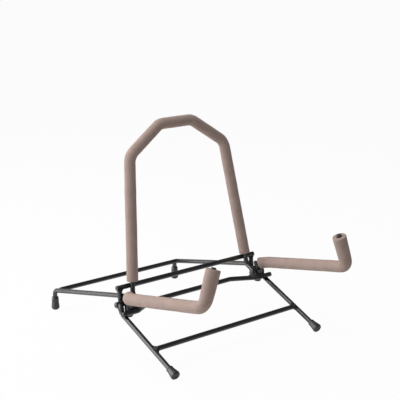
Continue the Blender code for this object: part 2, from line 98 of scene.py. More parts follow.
ARM_ELBOW_RADIUS = 16.0 * MM
ARM_TIP_RISE = 53.0 * MM
ARM_TIP_LEAN_IN = 18.6 * MM
ARM_TIP_LEAN_BACK = 2.0 * MM

# Foam sleeves
ARCH_FOAM_RADIUS = 9.1 * MM
ARM_FOAM_RADIUS = 9.45 * MM
ARM_FOAM_END_RADIUS = 11.0 * MM
ARM_FOAM_OVERLAP = 2.8 * MM
FOAM_BORE_RADIUS = 4.35 * MM
FOAM_END_ROUND = 1.3 * MM
FOAM_SIDES = 72
FOAM_STEP = 1.6 * MM
FOAM_SWELL = 0.22 * MM
FOAM_GRAIN = 0.07 * MM
FOAM_FOLD = 0.34 * MM
FOAM_FOLD_PITCH = 5.2 * MM

# Pivot sleeves and pins
SLEEVE_OUTER_RADIUS = 7.6 * MM
SLEEVE_EDGE = 0.6 * MM
SLEEVE_STEP = 0.5 * MM
BARREL_CLEARANCE = 0.4 * MM
STEM_IN_CAP = 1.8 * MM
COLLAR_RADIUS = 3.4 * MM
COLLAR_HEIGHT = 1.0 * MM
NECK_RADIUS = 2.7 * MM

# Rubber tips
FRONT_TIP_LENGTH = 18.8 * MM
FRONT_TIP_TOP_RADIUS = 5.5 * MM
FRONT_TIP_FOOT_RADIUS = 7.6 * MM
FRONT_TIP_END_RADIUS = 4.7 * MM
FRONT_TIP_END_ROUND = 3.2 * MM
FRONT_TIP_WALL = 4.2 * MM
FRONT_TIP_FLAT_DEPTH = 0.7 * MM
REAR_TIP_HEIGHT = 23.4 * MM
REAR_TIP_TOP_RADIUS = 5.3 * MM
REAR_TIP_FOOT_RADIUS = 7.2 * MM
REAR_TIP_FLAT_RADIUS = 4.0 * MM
REAR_TIP_ROUND = 4.2 * MM
REAR_TIP_END_TAPER = 1.0 * MM
REAR_TIP_WAIST_HEIGHT = 12.8 * MM
REAR_TIP_WAIST_INSET = 1.0 * MM
REAR_TIP_WALL = 5.0 * MM

# Light
ROOM_LEVEL = 0.24
FLOOR_GLOW_SHARE = 0.95
FLOOR_GLOSS_SHARE = 0.25
WINDOW_SIDE = (-0.8, 0.6, 0.0)
DIM_SIDE_LEVEL = 0.18

# Weld beads
BEAD_SIDES = 56
BEAD_RIPPLES = 17
BEAD_RIPPLE = 0.14 * MM
ARCH_FOOT_GUSSET = 3.8 * MM
FRONT_BAR_GUSSET = 2.6 * MM
BOSS_WELD_X = 131.0 * MM
BOSS_WELD_Y = -4.7 * MM
BOSS_WELD_Z = 68.5 * MM
FOOT_WELD = (127.8 * MM, -20.5 * MM, 70.2 * MM)

# Hooked heads of the front legs
LEG_HEAD_Y = -12.6 * MM
LEG_HEAD_Z = 74.3 * MM
LEG_HEAD_RADIUS = 4.6 * MM
BAR_SIDES = 48
BAR_STEP = 0.6 * MM


def new_object(name, mesh, material, body):
    """A finished piece that rides on a body and takes its finish from a slot."""
    piece = bpy.data.objects.new(name, mesh)
    bpy.context.scene.collection.objects.link(piece)
    mesh.materials.append(material)
    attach(piece, body)
    return piece


def loft(rings, closed_along=False):
    """A mesh through rings of equal size; open ends get a face each."""
    shape = bmesh.new()
    loops = [[shape.verts.new(point) for point in ring] for ring in rings]
    spans = list(zip(loops, loops[1:]))
    if closed_along:
        spans.append((loops[-1], loops[0]))
    else:
        shape.faces.new(loops[0])
        shape.faces.new(loops[-1])
    for near, far in spans:
        for index in range(len(near)):
            following = (index + 1) % len(near)
            shape.faces.new((near[index], near[following], far[following], far[index]))
    bmesh.ops.recalc_face_normals(shape, faces=shape.faces)
    mesh = bpy.data.meshes.new("piece")
    shape.to_mesh(mesh)
    shape.free()
    mesh.shade_smooth()
    return mesh


# Materials


def node_material(name):
    """A new material with its node tree, surface shader and object coordinates."""
    made = bpy.data.materials.new(name)
    made.use_nodes = True
    tree = made.node_tree
    surface = tree.nodes["Principled BSDF"]
    coordinates = tree.nodes.new("ShaderNodeTexCoord")
    return made, tree, surface, coordinates.outputs["Object"]


def noise_node(tree, coordinates, scale, detail=3.0, rough=0.5, distortion=0.0):
    made = tree.nodes.new("ShaderNodeTexNoise")
    made.inputs["Scale"].default_value = scale
    made.inputs["Detail"].default_value = detail
    made.inputs["Roughness"].default_value = rough
    made.inputs["Distortion"].default_value = distortion
    tree.links.new(coordinates, made.inputs["Vector"])
    return made.outputs["Fac"]


def ramp(tree, value, stops):
    """A colour ramp through (position, colour) stops."""
    made = tree.nodes.new("ShaderNodeValToRGB")
    elements = made.color_ramp.elements
    while len(elements) < len(stops):
        elements.new(0.5)
    for element, (position, colour) in zip(elements, stops):
        element.position = position
        element.color = (*colour, 1.0)
    tree.links.new(value, made.inputs["Fac"])
    return made.outputs["Color"]


def map_range(tree, value, low, high):
    """A value of about 0 to 1 spread from low to high."""
    made = tree.nodes.new("ShaderNodeMapRange")
    made.inputs["From Min"].default_value = 0.3
    made.inputs["From Max"].default_value = 0.7
    made.inputs["To Min"].default_value = low
    made.inputs["To Max"].default_value = high
    tree.links.new(value, made.inputs["Value"])
    return made.outputs["Result"]


def blend_values(tree, first, second, share):
    """Two values added in the given shares."""
    scaled = tree.nodes.new("ShaderNodeMath")
    scaled.operation = "MULTIPLY_ADD"
    tree.links.new(second, scaled.inputs[0])
    scaled.inputs[1].default_value = share
    tree.links.new(first, scaled.inputs[2])
    return scaled.outputs[0]


def bump(tree, surface, height, distance, strength=1.0):
    made = tree.nodes.new("ShaderNodeBump")
    made.inputs["Strength"].default_value = strength
    made.inputs["Distance"].default_value = distance
    tree.links.new(height, made.inputs["Height"])
    tree.links.new(made.outputs["Normal"], surface.inputs["Normal"])


def foam_material():
    """Skinless closed-cell foam: fine pores, faint mottling, matte."""
    made, tree, surface, place = node_material("taupe_foam")
    cells = tree.nodes.new("ShaderNodeTexVoronoi")
    cells.feature = "SMOOTH_F1"
    cells.inputs["Scale"].default_value = 1500.0
    tree.links.new(place, cells.inputs["Vector"])
    cloud = noise_node(tree, place, 60.0, 3.0, 0.5)
    grain = noise_node(tree, place, 900.0, 3.0, 0.6)
    tint = blend_values(tree, cloud, grain, 0.55)
    colour = ramp(tree, tint, [
        (0.42, (0.342, 0.250, 0.215)),
        (0.77, (0.370, 0.274, 0.237)),
        (1.10, (0.404, 0.304, 0.265)),
    ])
    tree.links.new(colour, surface.inputs["Base Color"])
    tree.links.new(map_range(tree, grain, 0.80, 0.97), surface.inputs["Roughness"])
    surface.inputs["Specular IOR Level"].default_value = 0.30
    surface.inputs["Sheen Weight"].default_value = 0.15
    surface.inputs["Sheen Roughness"].default_value = 0.60
    surface.inputs["Sheen Tint"].default_value = (1.0, 0.90, 0.88, 1.0)
    height = blend_values(tree, grain, cells.outputs["Distance"], 0.8)
    bump(tree, surface, height, 0.12 * MM, 0.8)
    return made


def coat_material():
    """Semi-gloss black powder coat with a fine orange peel."""
    made, tree, surface, place = node_material("black_powder_coat")
    peel = noise_node(tree, place, 420.0, 2.0, 0.45)
    dust = noise_node(tree, place, 60.0, 5.0, 0.65)
    fine = noise_node(tree, place, 2600.0, 2.0, 0.5)
    colour = ramp(tree, dust, [(0.30, (0.0060, 0.0060, 0.0066)), (0.72, (0.0100, 0.0100, 0.0108))])
    tree.links.new(colour, surface.inputs["Base Color"])
    tree.links.new(map_range(tree, dust, 0.11, 0.17), surface.inputs["Roughness"])
    surface.inputs["Specular IOR Level"].default_value = 0.85
    height = blend_values(tree, peel, fine, 0.18)
    bump(tree, surface, height, 0.06 * MM, 0.7)
    return made


def rubber_material():
    """Charcoal rubber with a faint moulded grain."""
    made, tree, surface, place = node_material("dark_rubber")
    grain = noise_node(tree, place, 1100.0, 3.0, 0.6)
    cloud = noise_node(tree, place, 140.0, 4.0, 0.6)
    colour = ramp(tree, cloud, [(0.30, (0.017, 0.017, 0.019)), (0.75, (0.034, 0.034, 0.037))])
    tree.links.new(colour, surface.inputs["Base Color"])
    tree.links.new(map_range(tree, cloud, 0.30, 0.42), surface.inputs["Roughness"])
    surface.inputs["Specular IOR Level"].default_value = 0.75
    bump(tree, surface, grain, 0.05 * MM, 0.6)
    return made


# Foam sleeves


def bent_line(corners, radii, step):
    """Evenly stepped centre line through rounded corners, as (point, heading, inward, bend) rows.

    Inward points to the inside of the nearest bend. Bend is 1 within a tight arc and 0 away from it.
    """
    points = [Vector(corner) for corner in corners]
    rows = []

    def add_straight(start, end, inward_near, inward_far, tight_near, tight_far):
        length = (end - start).length
        heading = (end - start).normalized()
        count = max(1, round(length / step))
        for index in range(count):
            along = length * index / count
            after = tight_near * math.exp(-(along / (5.0 * MM)) ** 2)
            before = tight_far * math.exp(-((length - along) / (5.0 * MM)) ** 2)
            inward = inward_near if after > before else inward_far
            rows.append((start + heading * along, heading, inward, max(after, before)))

    cursor = points[0]
    last_inward = None
    last_tight = 0.0
    for before, corner, after, radius in zip(points, points[1:], points[2:], radii):
        arriving = (corner - before).normalized()
        leaving = (after - corner).normalized()
        turn = arriving.angle(leaving)
        tight = min(1.0, turn ** 3)
        start = corner - arriving * radius * math.tan(turn / 2)
        inward = (leaving - arriving * arriving.dot(leaving)).normalized()
        add_straight(cursor, start, last_inward, inward, last_tight, tight)
        centre = start + inward * radius
        count = max(3, math.ceil(radius * turn / step))
        for index in range(count):
            angle = turn * index / count
            point = centre - inward * radius * math.cos(angle) + arriving * radius * math.sin(angle)
            heading = arriving * math.cos(angle) + inward * math.sin(angle)
            to_centre = (centre - point).normalized()
            rows.append((point, heading, to_centre, tight))
        cursor = centre - inward * radius * math.cos(turn) + arriving * radius * math.sin(turn)
        last_inward = (centre - cursor).normalized()
        last_tight = tight
    add_straight(cursor, points[-1], last_inward, None, last_tight, 0.0)
    rows.append((points[-1], (points[-1] - points[-2]).normalized(), None, 0.0))
    return rows


def foam_sleeve(name, corners, radii, sizes, body, material, seed, overlap=None):
    """A foam tube with softened ends, a slight swell and soft folds inside its bends.

    Its radius goes from the first size to the second over the last straight run, and its start reaches
    back by the overlap vector's length on the side that the vector points to.
    """
    rows = bent_line(corners, radii, FOAM_STEP)
    last_run = (Vector(corners[-1]) - Vector(corners[-2])).length
    travelled = [0.0]
    for near, far in zip(rows, rows[1:]):
        travelled.append(travelled[-1] + (far[0] - near[0]).length)
    total = travelled[-1]
    heading = rows[0][1]
    across = heading.orthogonal().normalized()
    frames = []
    for point, next_heading, inward, bend in rows:
        across = heading.rotation_difference(next_heading) @ across
        heading = next_heading
        frames.append((point, heading, across.copy(), heading.cross(across), inward, bend))

    def foam_radius(along):
        share = min(1.0, max(0.0, 1.0 - (total - along) / last_run))
        return sizes[0] + (sizes[1] - sizes[0]) * (1.0 - (1.0 - share) ** 1.6)

    def reach_back(out, along):
        if overlap is None:
            return 0.0
        side = (1.0 + out.dot(overlap.normalized())) / 2
        fade = max(0.0, 1.0 - along / (5.0 * overlap.length))
        return overlap.length * side ** 2 * fade ** 3

    def outer_ring(place, along, shrink, slide, wobble=1.0):
        point, heading, across, upward, inward, bend = place
        size = foam_radius(along)
        ring = []
        for index in range(FOAM_SIDES):
            angle = 2 * math.pi * index / FOAM_SIDES
            out = across * math.cos(angle) + upward * math.sin(angle)
            spot = point + out * size + Vector((seed, 0, 0))
            swell = noise.noise(spot * 55.0) * FOAM_SWELL + noise.noise(spot * 420.0) * FOAM_GRAIN
            fold = 0.0
            if inward is not None and bend > 0.01:
                facing = max(0.0, out.dot(inward))
                wave = 0.5 - 0.5 * math.cos(2 * math.pi * along / FOAM_FOLD_PITCH + seed)
                fold = -FOAM_FOLD * bend * facing ** 2 * wave
                fold -= 0.5 * FOAM_FOLD * bend * max(0.0, -out.dot(inward)) ** 2
            radius = size - shrink + (swell + fold) * wobble
            ring.append(point + out * radius + heading * (slide - reach_back(out, along)))
        return ring

    def bore_ring(place, along, radius, slide):
        point, heading, across, upward, _inward, _bend = place
        ring = []
        for index in range(FOAM_SIDES):
            angle = 2 * math.pi * index / FOAM_SIDES
            out = across * math.cos(angle) + upward * math.sin(angle)
            ragged = noise.noise((point + out * radius) * 900.0 + Vector((seed, 5, 0))) * 0.12 * MM
            back = reach_back(out, along)
            ring.append(point + out * (radius + ragged) + heading * (slide - back))
        return ring

    rings = []
    first, last = frames[0], frames[-1]
    face_steps = (0.25, 0.6)
    round_steps = 5
    for share in face_steps:
        radius = FOAM_BORE_RADIUS + (sizes[0] - FOAM_END_ROUND - FOAM_BORE_RADIUS) * share
        rings.append(bore_ring(first, 0.0, radius, 0.10 * MM * (1 - share)))
    for step in range(round_steps + 1):
        angle = math.pi / 2 * step / round_steps
        shrink = FOAM_END_ROUND * (1 - math.sin(angle))
        slide = FOAM_END_ROUND * (1 - math.cos(angle))
        rings.append(outer_ring(first, 0.0, shrink, slide))
    for place, along in zip(frames, travelled):
        if FOAM_END_ROUND * 1.4 < along < total - FOAM_END_ROUND * 1.4:
            rings.append(outer_ring(place, along, 0.0, 0.0))
    for step in range(round_steps, -1, -1):
        angle = math.pi / 2 * step / round_steps
        shrink = FOAM_END_ROUND * (1 - math.sin(angle))
        slide = -FOAM_END_ROUND * (1 - math.cos(angle))
        rings.append(outer_ring(last, total, shrink, slide))
    for share in reversed(face_steps):
        radius = FOAM_BORE_RADIUS + (sizes[1] - FOAM_END_ROUND - FOAM_BORE_RADIUS) * share
        rings.append(bore_ring(last, total, radius, -0.10 * MM * (1 - share)))
    rings.append(bore_ring(last, total, FOAM_BORE_RADIUS, -0.35 * MM))
    for place, along in zip(frames[-2:0:-1], travelled[-2:0:-1]):
        rings.append(bore_ring(place, along, FOAM_BORE_RADIUS, 0.0))
    rings.append(bore_ring(first, 0.0, FOAM_BORE_RADIUS, 0.35 * MM))
    mesh = loft(rings, closed_along=True)
    piece = new_object(name, mesh, material, body)
    return piece


def backrest_y(z):
    """Depth of the back-rest bar's centre line."""
    contact = UPPER_ROD_Y - (2 * ROD_RADIUS + RUNNING_GAP) / math.cos(BACKREST_LEAN)
    return contact + math.tan(BACKREST_LEAN) * (z - UPPER_ROD_Z)


def arm_point(side, x, y):
    return Vector((side * x, y, ARM_HEIGHT + math.tan(ARM_RISE) * (PIVOT_Y - y)))


def dress_foam(material):
    shoulder = Vector((ARCH_SHOULDER[0], backrest_y(ARCH_SHOULDER[1]), ARCH_SHOULDER[1]))
    top = Vector((ARCH_TOP[0], backrest_y(ARCH_TOP[1]), ARCH_TOP[1]))
    heel = Vector((ARCH_FOOT_X, backrest_y(ARCH_HEEL_Z), ARCH_HEEL_Z))
    bottom = heel.lerp(shoulder, (ARCH_FOAM_BOTTOM_Z - heel.z) / (shoulder.z - heel.z))
    right = [bottom, shoulder, top]
    left = [Vector((-point.x, point.y, point.z)) for point in reversed(right)]
    sizes = (ARCH_FOAM_RADIUS, ARCH_FOAM_RADIUS)
    sleeve = foam_sleeve("foam_backrest", right + left, [ARCH_RADIUS] * 4, sizes, "backrest", material, 1.7)
    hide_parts("backrest_foam")

    for side_name, side, seed in (("left", -1, 3.1), ("right", 1, 5.9)):
        pivot = arm_point(side, PIVOT_X, PIVOT_Y)
        outer_x = PIVOT_X + ARM_SPLAY_OFFSET
        splay_end = arm_point(side, outer_x, PIVOT_Y - ARM_SPLAY_OFFSET / math.tan(ARM_SPLAY_ANGLE))
        elbow = arm_point(side, outer_x, ARM_ELBOW_Y)
        tip = elbow + Vector((-side * ARM_TIP_LEAN_IN, ARM_TIP_LEAN_BACK, ARM_TIP_RISE))
        start = pivot.lerp(splay_end, ARM_FOAM_START / ARM_SPLAY_OFFSET * math.sin(ARM_SPLAY_ANGLE))
        corners = [start, splay_end, elbow, tip]
        radii = [ARM_FOAM_SPLAY_RADIUS, ARM_ELBOW_RADIUS]
        sizes = (ARM_FOAM_RADIUS, ARM_FOAM_END_RADIUS)
        overlap = Vector((-side, 0, 1)).normalized() * ARM_FOAM_OVERLAP
        sleeve = foam_sleeve("foam_arm_" + side_name, corners, radii, sizes, "arm_" + side_name, material,
                             seed, overlap)
        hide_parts("arm_foam_" + side_name)


# Weld beads


def saddle_bead(name, body, end, axis, radius, other, other_axis, other_radius, material, flare=1.5 * MM,
                gusset=0.0):
    """Fillet weld where a bar's flat end meets the side of another bar, deeper along it by the gusset."""
    axis = Vector(axis).normalized()
    other_axis = Vector(other_axis).normalized()
    end = Vector(end)
    other = Vector(other)
    along = (other_axis - axis * other_axis.dot(axis)).normalized()
    sideways = axis.cross(along)
    rows = 6
    rings = [[] for _ in range(rows + 3)]
    for index in range(BEAD_SIDES):
        angle = 2 * math.pi * index / BEAD_SIDES
        out = along * math.cos(angle) + sideways * math.sin(angle)
        uneven = 1 + 0.28 * noise.noise(out * 1.3 + end * 60.0)
        extra = gusset * math.cos(angle) ** 4
        top = end - axis * (1.5 * MM + extra) * uneven + out * (radius + 0.02 * MM)
        reach = end + out * (radius + (flare + extra) * uneven) + axis * 1.2 * MM * abs(math.sin(angle))
        offset = reach - other
        lengthwise = other_axis * offset.dot(other_axis)
        spoke = (offset - lengthwise).normalized()
        toe = other + lengthwise + spoke * (other_radius + 0.02 * MM)
        ripple = BEAD_RIPPLE * math.sin(BEAD_RIPPLES * angle + 2.0 * math.sin(angle))
        rings[0].append(end - axis * (1.5 * MM + extra) + out * (radius - 0.8 * MM))
        for row in range(rows + 1):
            share = row / rows
            swell = math.sin(math.pi * share)
            point = top.lerp(toe, share) + (out - axis * 0.6).normalized() * swell * (0.35 * MM + ripple)
            point -= (out - axis).normalized() * 0.42 * extra * swell
            rings[row + 1].append(point)
        rings[rows + 2].append(other + lengthwise + spoke * (other_radius - 0.8 * MM))
    return new_object(name, loft(rings, closed_along=True), material, body)


def lump_bead(name, body, centre, half_sizes, material, rows=14):
    """A puddle of weld metal between two bars that touch side by side."""
    centre = Vector(centre)
    rings = []
    for row in range(1, rows):
        polar = math.pi * row / rows
        ring = []
        for index in range(2 * rows):
            angle = math.pi * index / rows
            out = Vector((
                math.sin(polar) * math.cos(angle),
                math.sin(polar) * math.sin(angle),
                math.cos(polar),
            ))
            uneven = 1 + 0.10 * noise.noise(out * 2.2 + centre * 90.0)
            uneven += 0.035 * math.sin(7 * polar + 2.0 * math.sin(angle))
            ring.append(centre + Vector(half * part for half, part in zip(half_sizes, out)) * uneven)
        rings.append(ring)
    return new_object(name, loft(rings), material, body)


def bar(name, body, corners, radii, material):
    """A round bar along a bent centre line."""
    rows = bent_line(corners, radii, BAR_STEP)
    heading = rows[0][1]
    across = heading.orthogonal().normalized()
    rings = []
    for point, next_heading, _inward, _bend in rows:
        across = heading.rotation_difference(next_heading) @ across
        heading = next_heading
        upward = heading.cross(across)
        rings.append([
            point + (across * math.cos(2 * math.pi * index / BAR_SIDES)
                     + upward * math.sin(2 * math.pi * index / BAR_SIDES)) * ROD_RADIUS
            for index in range(BAR_SIDES)
        ])
    return new_object(name, loft(rings), material, body)


def leg_height(y):
    return LEG_KNEE[1] - math.tan(LEG_SLOPE) * (LEG_KNEE[0] - y)


def side_rod_height(y):
    return SIDE_ROD_START[1] - math.tan(SIDE_ROD_FALL) * (y - SIDE_ROD_START[0])


def dress_welds(material):
    link_up = Vector((0, math.sin(LINK_LEAN), math.cos(LINK_LEAN)))
    side_rod_axis = Vector((0, math.cos(SIDE_ROD_FALL), -math.sin(SIDE_ROD_FALL)))
    leg_axis = Vector((0, -math.cos(LEG_SLOPE), -math.sin(LEG_SLOPE)))
    arm_axis = Vector((0, -math.cos(ARM_RISE), math.sin(ARM_RISE)))
    front_bar_y = LEG_KNEE[0] - FRONT_BAR_FORWARD
    front_bar_z = leg_height(front_bar_y) + FRONT_BAR_LIFT
    for side_name, side in (("left", -1), ("right", 1)):
        upper = Vector((side * LINK_X, UPPER_ROD_Y, UPPER_ROD_Z))
        link_end = upper - link_up * (ROD_RADIUS + WELD_GAP)
        saddle_bead("weld_link_" + side_name, "rear_frame", link_end, link_up, ROD_RADIUS,
                    upper, (1, 0, 0), ROD_RADIUS, material)

        link_y = UPPER_ROD_Y - math.tan(LINK_LEAN) * (UPPER_ROD_Z - SIDE_ROD_START[1])
        spot = (side * (LINK_X - ROD_RADIUS - WELD_GAP / 2), link_y, side_rod_height(link_y))
        lump_bead("weld_side_rod_" + side_name, "rear_frame", spot, (1.6 * MM, 4.6 * MM, 4.6 * MM), material)

        share = (REAR_BAR[0] - SIDE_ROD_START[0]) / (REAR_FOOT_Y - SIDE_ROD_START[0])
        rod_x = SIDE_ROD_X + SIDE_ROD_SPREAD * share
        rod = Vector((side * rod_x, REAR_BAR[0], side_rod_height(REAR_BAR[0])))
        bar_end = (side * (rod_x - ROD_RADIUS - WELD_GAP), REAR_BAR[0], REAR_BAR[1])
        saddle_bead("weld_rear_bar_" + side_name, "rear_frame", bar_end, (side, 0, 0), ROD_RADIUS,
                    rod, side_rod_axis, ROD_RADIUS, material, flare=1.9 * MM)

        leg = Vector((side * LEG_X, front_bar_y, leg_height(front_bar_y)))
        bar_end = (side * (LEG_X - ROD_RADIUS - WELD_GAP), front_bar_y, front_bar_z)
        saddle_bead("weld_front_bar_" + side_name, "front_frame", bar_end, (side, 0, 0), ROD_RADIUS,
                    leg, leg_axis, ROD_RADIUS, material, flare=1.8 * MM, gusset=FRONT_BAR_GUSSET)

        head = [
            Vector((side * LEG_X, HINGE_Y, HINGE_Z)),
            Vector((side * LEG_X, LEG_HEAD_Y, LEG_HEAD_Z)),
            Vector((side * LEG_X, LEG_HEAD_Y, leg_height(LEG_HEAD_Y))),
        ]
        bar("leg_head_" + side_name, "front_frame", head, [LEG_HEAD_RADIUS], material)

        jog = (JOG_OUTER_X - ARCH_FOOT_X) / (JOG_OUTER_X - JOG_INNER_X)
        foot_y = LOWER_ROD_Y + JOG_DEPTH * jog
        foot = (side * ARCH_FOOT_X, foot_y, LOWER_ROD_Z + ROD_RADIUS + WELD_GAP)
        below = (side * ARCH_FOOT_X, foot_y, LOWER_ROD_Z)
        jog_axis = (-side * (JOG_OUTER_X - JOG_INNER_X), JOG_DEPTH, 0)
        saddle_bead("weld_arch_foot_" + side_name, "backrest", foot, (0, 0, -1), ROD_RADIUS,
                    below, jog_axis, ROD_RADIUS, material, flare=2.2 * MM, gusset=ARCH_FOOT_GUSSET)

        spot = (side * PIVOT_X, PIVOT_Y - SLEEVE_RADIUS - WELD_GAP / 2, LOWER_ROD_Z)
        lump_bead("weld_sleeve_" + side_name, "backrest", spot, (6.0 * MM, 2.0 * MM, 4.9 * MM), material)
        spot = (side * BOSS_WELD_X, BOSS_WELD_Y, BOSS_WELD_Z)
        lump_bead("weld_boss_" + side_name, "backrest", spot, (2.6 * MM, 5.6 * MM, 7.0 * MM), material)
        spot = (side * FOOT_WELD[0], FOOT_WELD[1], FOOT_WELD[2])
        lump_bead("weld_foot_" + side_name, "backrest", spot, (5.0 * MM, 2.6 * MM, 4.2 * MM), material)

        pin = (side * PIVOT_X, PIVOT_Y, neck_top() - WELD_GAP)
        pivot = arm_point(side, PIVOT_X, PIVOT_Y)
        saddle_bead("weld_arm_pivot_" + side_name, "arm_" + side_name, pin, (0, 0, 1),
                    NECK_RADIUS, pivot, arm_axis, ROD_RADIUS, material, flare=0.9 * MM)


# Pivot sleeves and pins


def neck_top():
    """Height at which a pivot pin's neck meets the underside of the arm rod."""
    return ARM_HEIGHT - ROD_RADIUS / math.cos(ARM_RISE) - NECK_RADIUS * math.tan(ARM_RISE)


def dress_pivots(material):
    """Wide pivot sleeves scooped out behind for the hinge barrels, and pins with a slim neck."""
    bore = STEM_RADIUS + RUNNING_GAP
    length = SLEEVE_TOP_Z - SLEEVE_BOTTOM_Z
    reach = BARREL_RADIUS + BARREL_CLEARANCE
    outline = [(0.0, bore), (0.0, SLEEVE_OUTER_RADIUS - SLEEVE_EDGE), (SLEEVE_EDGE * 0.3, SLEEVE_OUTER_RADIUS - SLEEVE_EDGE * 0.3)]
    steps = round((length - 2 * SLEEVE_EDGE) / SLEEVE_STEP)
    for step in range(steps + 1):
        outline.append((SLEEVE_EDGE + (length - 2 * SLEEVE_EDGE) * step / steps, SLEEVE_OUTER_RADIUS))
    outline += [
        (length - SLEEVE_EDGE * 0.3, SLEEVE_OUTER_RADIUS - SLEEVE_EDGE * 0.3),
        (length, SLEEVE_OUTER_RADIUS - SLEEVE_EDGE),
        (length, bore),
    ]
    for side_name, side in (("left", -1), ("right", 1)):
        base = Vector((side * PIVOT_X, PIVOT_Y, SLEEVE_BOTTOM_Z))
        sleeve = turned("sleeve_" + side_name, "backrest", base, (0, 0, 1), outline, material,
                        sides=96, ring_like=True)
        for vertex in sleeve.data.vertices:
            back = vertex.co.y - HINGE_Y
            up = vertex.co.z - HINGE_Z
            if math.hypot(back, up) < reach:
                vertex.co.y = HINGE_Y - math.sqrt(reach ** 2 - up ** 2)
        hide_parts("pivot_sleeve_" + side_name)

        stem_bottom = SLEEVE_BOTTOM_Z - RUNNING_GAP - STEM_IN_CAP
        collar = SLEEVE_TOP_Z + RUNNING_GAP
        pin = [
            (stem_bottom, STEM_RADIUS * 0.4),
            (stem_bottom, STEM_RADIUS),
            (collar, STEM_RADIUS),
            (collar, COLLAR_RADIUS + 0.6 * MM),
            (collar + COLLAR_HEIGHT, COLLAR_RADIUS),
            (collar + COLLAR_HEIGHT + 0.4 * MM, NECK_RADIUS),
            (neck_top() - WELD_GAP, NECK_RADIUS),
            (neck_top() - WELD_GAP, NECK_RADIUS * 0.4),
        ]
        piece = turned("pin_arm_" + side_name, "arm_" + side_name, (side * PIVOT_X, PIVOT_Y, 0), (0, 0, 1),
                       rounded(pin, 0.3 * MM), material)
        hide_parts("arm_pivot_pin_" + side_name)


# Rubber feet


def turned(name, body, base, axis, profile, material, sides=64, floor=None, ring_like=False):
    """A closed piece turned about an axis through (along, radius) points, pressed flat on a floor.

    A ring-like piece has a bore from its last point back to its first.
    """
    base = Vector(base)
    axis = Vector(axis).normalized()
    across = axis.orthogonal().normalized()
    upward = axis.cross(across)
    rings = []
    for along, radius in profile:
        ring = []
        for index in range(sides):
            angle = 2 * math.pi * index / sides
            point = base + axis * along + (across * math.cos(angle) + upward * math.sin(angle)) * radius
            if floor is not None:
                point.z = max(point.z, floor)
            ring.append(point)
        rings.append(ring)
    return new_object(name, loft(rings, closed_along=ring_like), material, body)


def rounded(points, reach, steps=4):
    """A profile with each inner corner rounded over the given reach."""
    result = [points[0]]
    for before, corner, after in zip(points, points[1:], points[2:]):
        before, corner, after = Vector(before), Vector(corner), Vector(after)
        cut = min(reach, (before - corner).length * 0.45, (after - corner).length * 0.45)
        start = corner + (before - corner).normalized() * cut
        end = corner + (after - corner).normalized() * cut
        for step in range(steps + 1):
            share = step / steps
            result.append(tuple(start.lerp(corner, share).lerp(corner.lerp(end, share), share)))
    result.append(points[-1])
    return result


def dress_feet(material):
    """Pushed-on rubber tips: a flared bell on each front leg and a barrel on each rear foot."""
    slope = Vector((0, -math.cos(LEG_SLOPE), -math.sin(LEG_SLOPE)))
    foot_along = FRONT_TIP_LENGTH - FRONT_TIP_END_ROUND
    foot_z = FRONT_TIP_FOOT_RADIUS * math.cos(LEG_SLOPE) - FRONT_TIP_FLAT_DEPTH
    start_z = foot_z + foot_along * math.sin(LEG_SLOPE)
    start_y = LEG_KNEE[0] - (LEG_KNEE[1] - start_z) / math.tan(LEG_SLOPE)
    bore = ROD_RADIUS + WELD_GAP
    for side_name, side in (("left", -1), ("right", 1)):
        front = [
            (FRONT_TIP_LENGTH - FRONT_TIP_WALL + WELD_GAP, 0.5 * bore),
            (FRONT_TIP_LENGTH - FRONT_TIP_WALL + WELD_GAP, bore),
            (0.9 * MM, bore),
            (0.0, bore + 0.15 * MM),
            (0.0, FRONT_TIP_TOP_RADIUS - 0.1 * MM),
            (0.7 * MM, FRONT_TIP_TOP_RADIUS + 0.1 * MM),
            (2.4 * MM, FRONT_TIP_TOP_RADIUS + 0.1 * MM),
            (3.0 * MM, FRONT_TIP_TOP_RADIUS - 0.1 * MM),
            (foot_along, FRONT_TIP_FOOT_RADIUS),
            (FRONT_TIP_LENGTH - 0.7 * MM, FRONT_TIP_FOOT_RADIUS - 0.7 * MM),
            (FRONT_TIP_LENGTH, FRONT_TIP_END_RADIUS),
            (FRONT_TIP_LENGTH, FRONT_TIP_END_RADIUS * 0.7),
            (FRONT_TIP_LENGTH - 0.35 * MM, FRONT_TIP_END_RADIUS * 0.6),
            (FRONT_TIP_LENGTH - 0.35 * MM, FRONT_TIP_END_RADIUS * 0.2),
        ]
        base = (side * LEG_X, start_y, start_z)
        tip = turned("rubber_front_" + side_name, "front_frame", base, slope, rounded(front, 1.1 * MM),
                     material, floor=0.0)
        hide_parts("front_foot_tip_" + side_name)

        rear = [
            (REAR_TIP_WALL - WELD_GAP, 0.5 * bore),
            (REAR_TIP_WALL - WELD_GAP, bore),
            (REAR_TIP_HEIGHT - 0.8 * MM, bore),
            (REAR_TIP_HEIGHT, bore + 0.15 * MM),
            (REAR_TIP_HEIGHT, REAR_TIP_TOP_RADIUS),
            (REAR_TIP_HEIGHT - 3.2 * MM, REAR_TIP_TOP_RADIUS + 0.75 * MM),
            (REAR_TIP_WAIST_HEIGHT, REAR_TIP_FOOT_RADIUS - REAR_TIP_WAIST_INSET),
            (REAR_TIP_ROUND, REAR_TIP_FOOT_RADIUS),
            (REAR_TIP_ROUND / 2, REAR_TIP_FOOT_RADIUS - REAR_TIP_END_TAPER),
            (0.0, REAR_TIP_FLAT_RADIUS),
            (0.0, REAR_TIP_FLAT_RADIUS * 0.3),
        ]
        base = (side * (SIDE_ROD_X + SIDE_ROD_SPREAD), REAR_FOOT_Y, 0)
        tip = turned("rubber_rear_" + side_name, "rear_frame", base, (0, 0, 1), rounded(rear, 1.3 * MM),
                     material)
        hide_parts("rear_foot_tip_" + side_name)


# Stage, camera and light


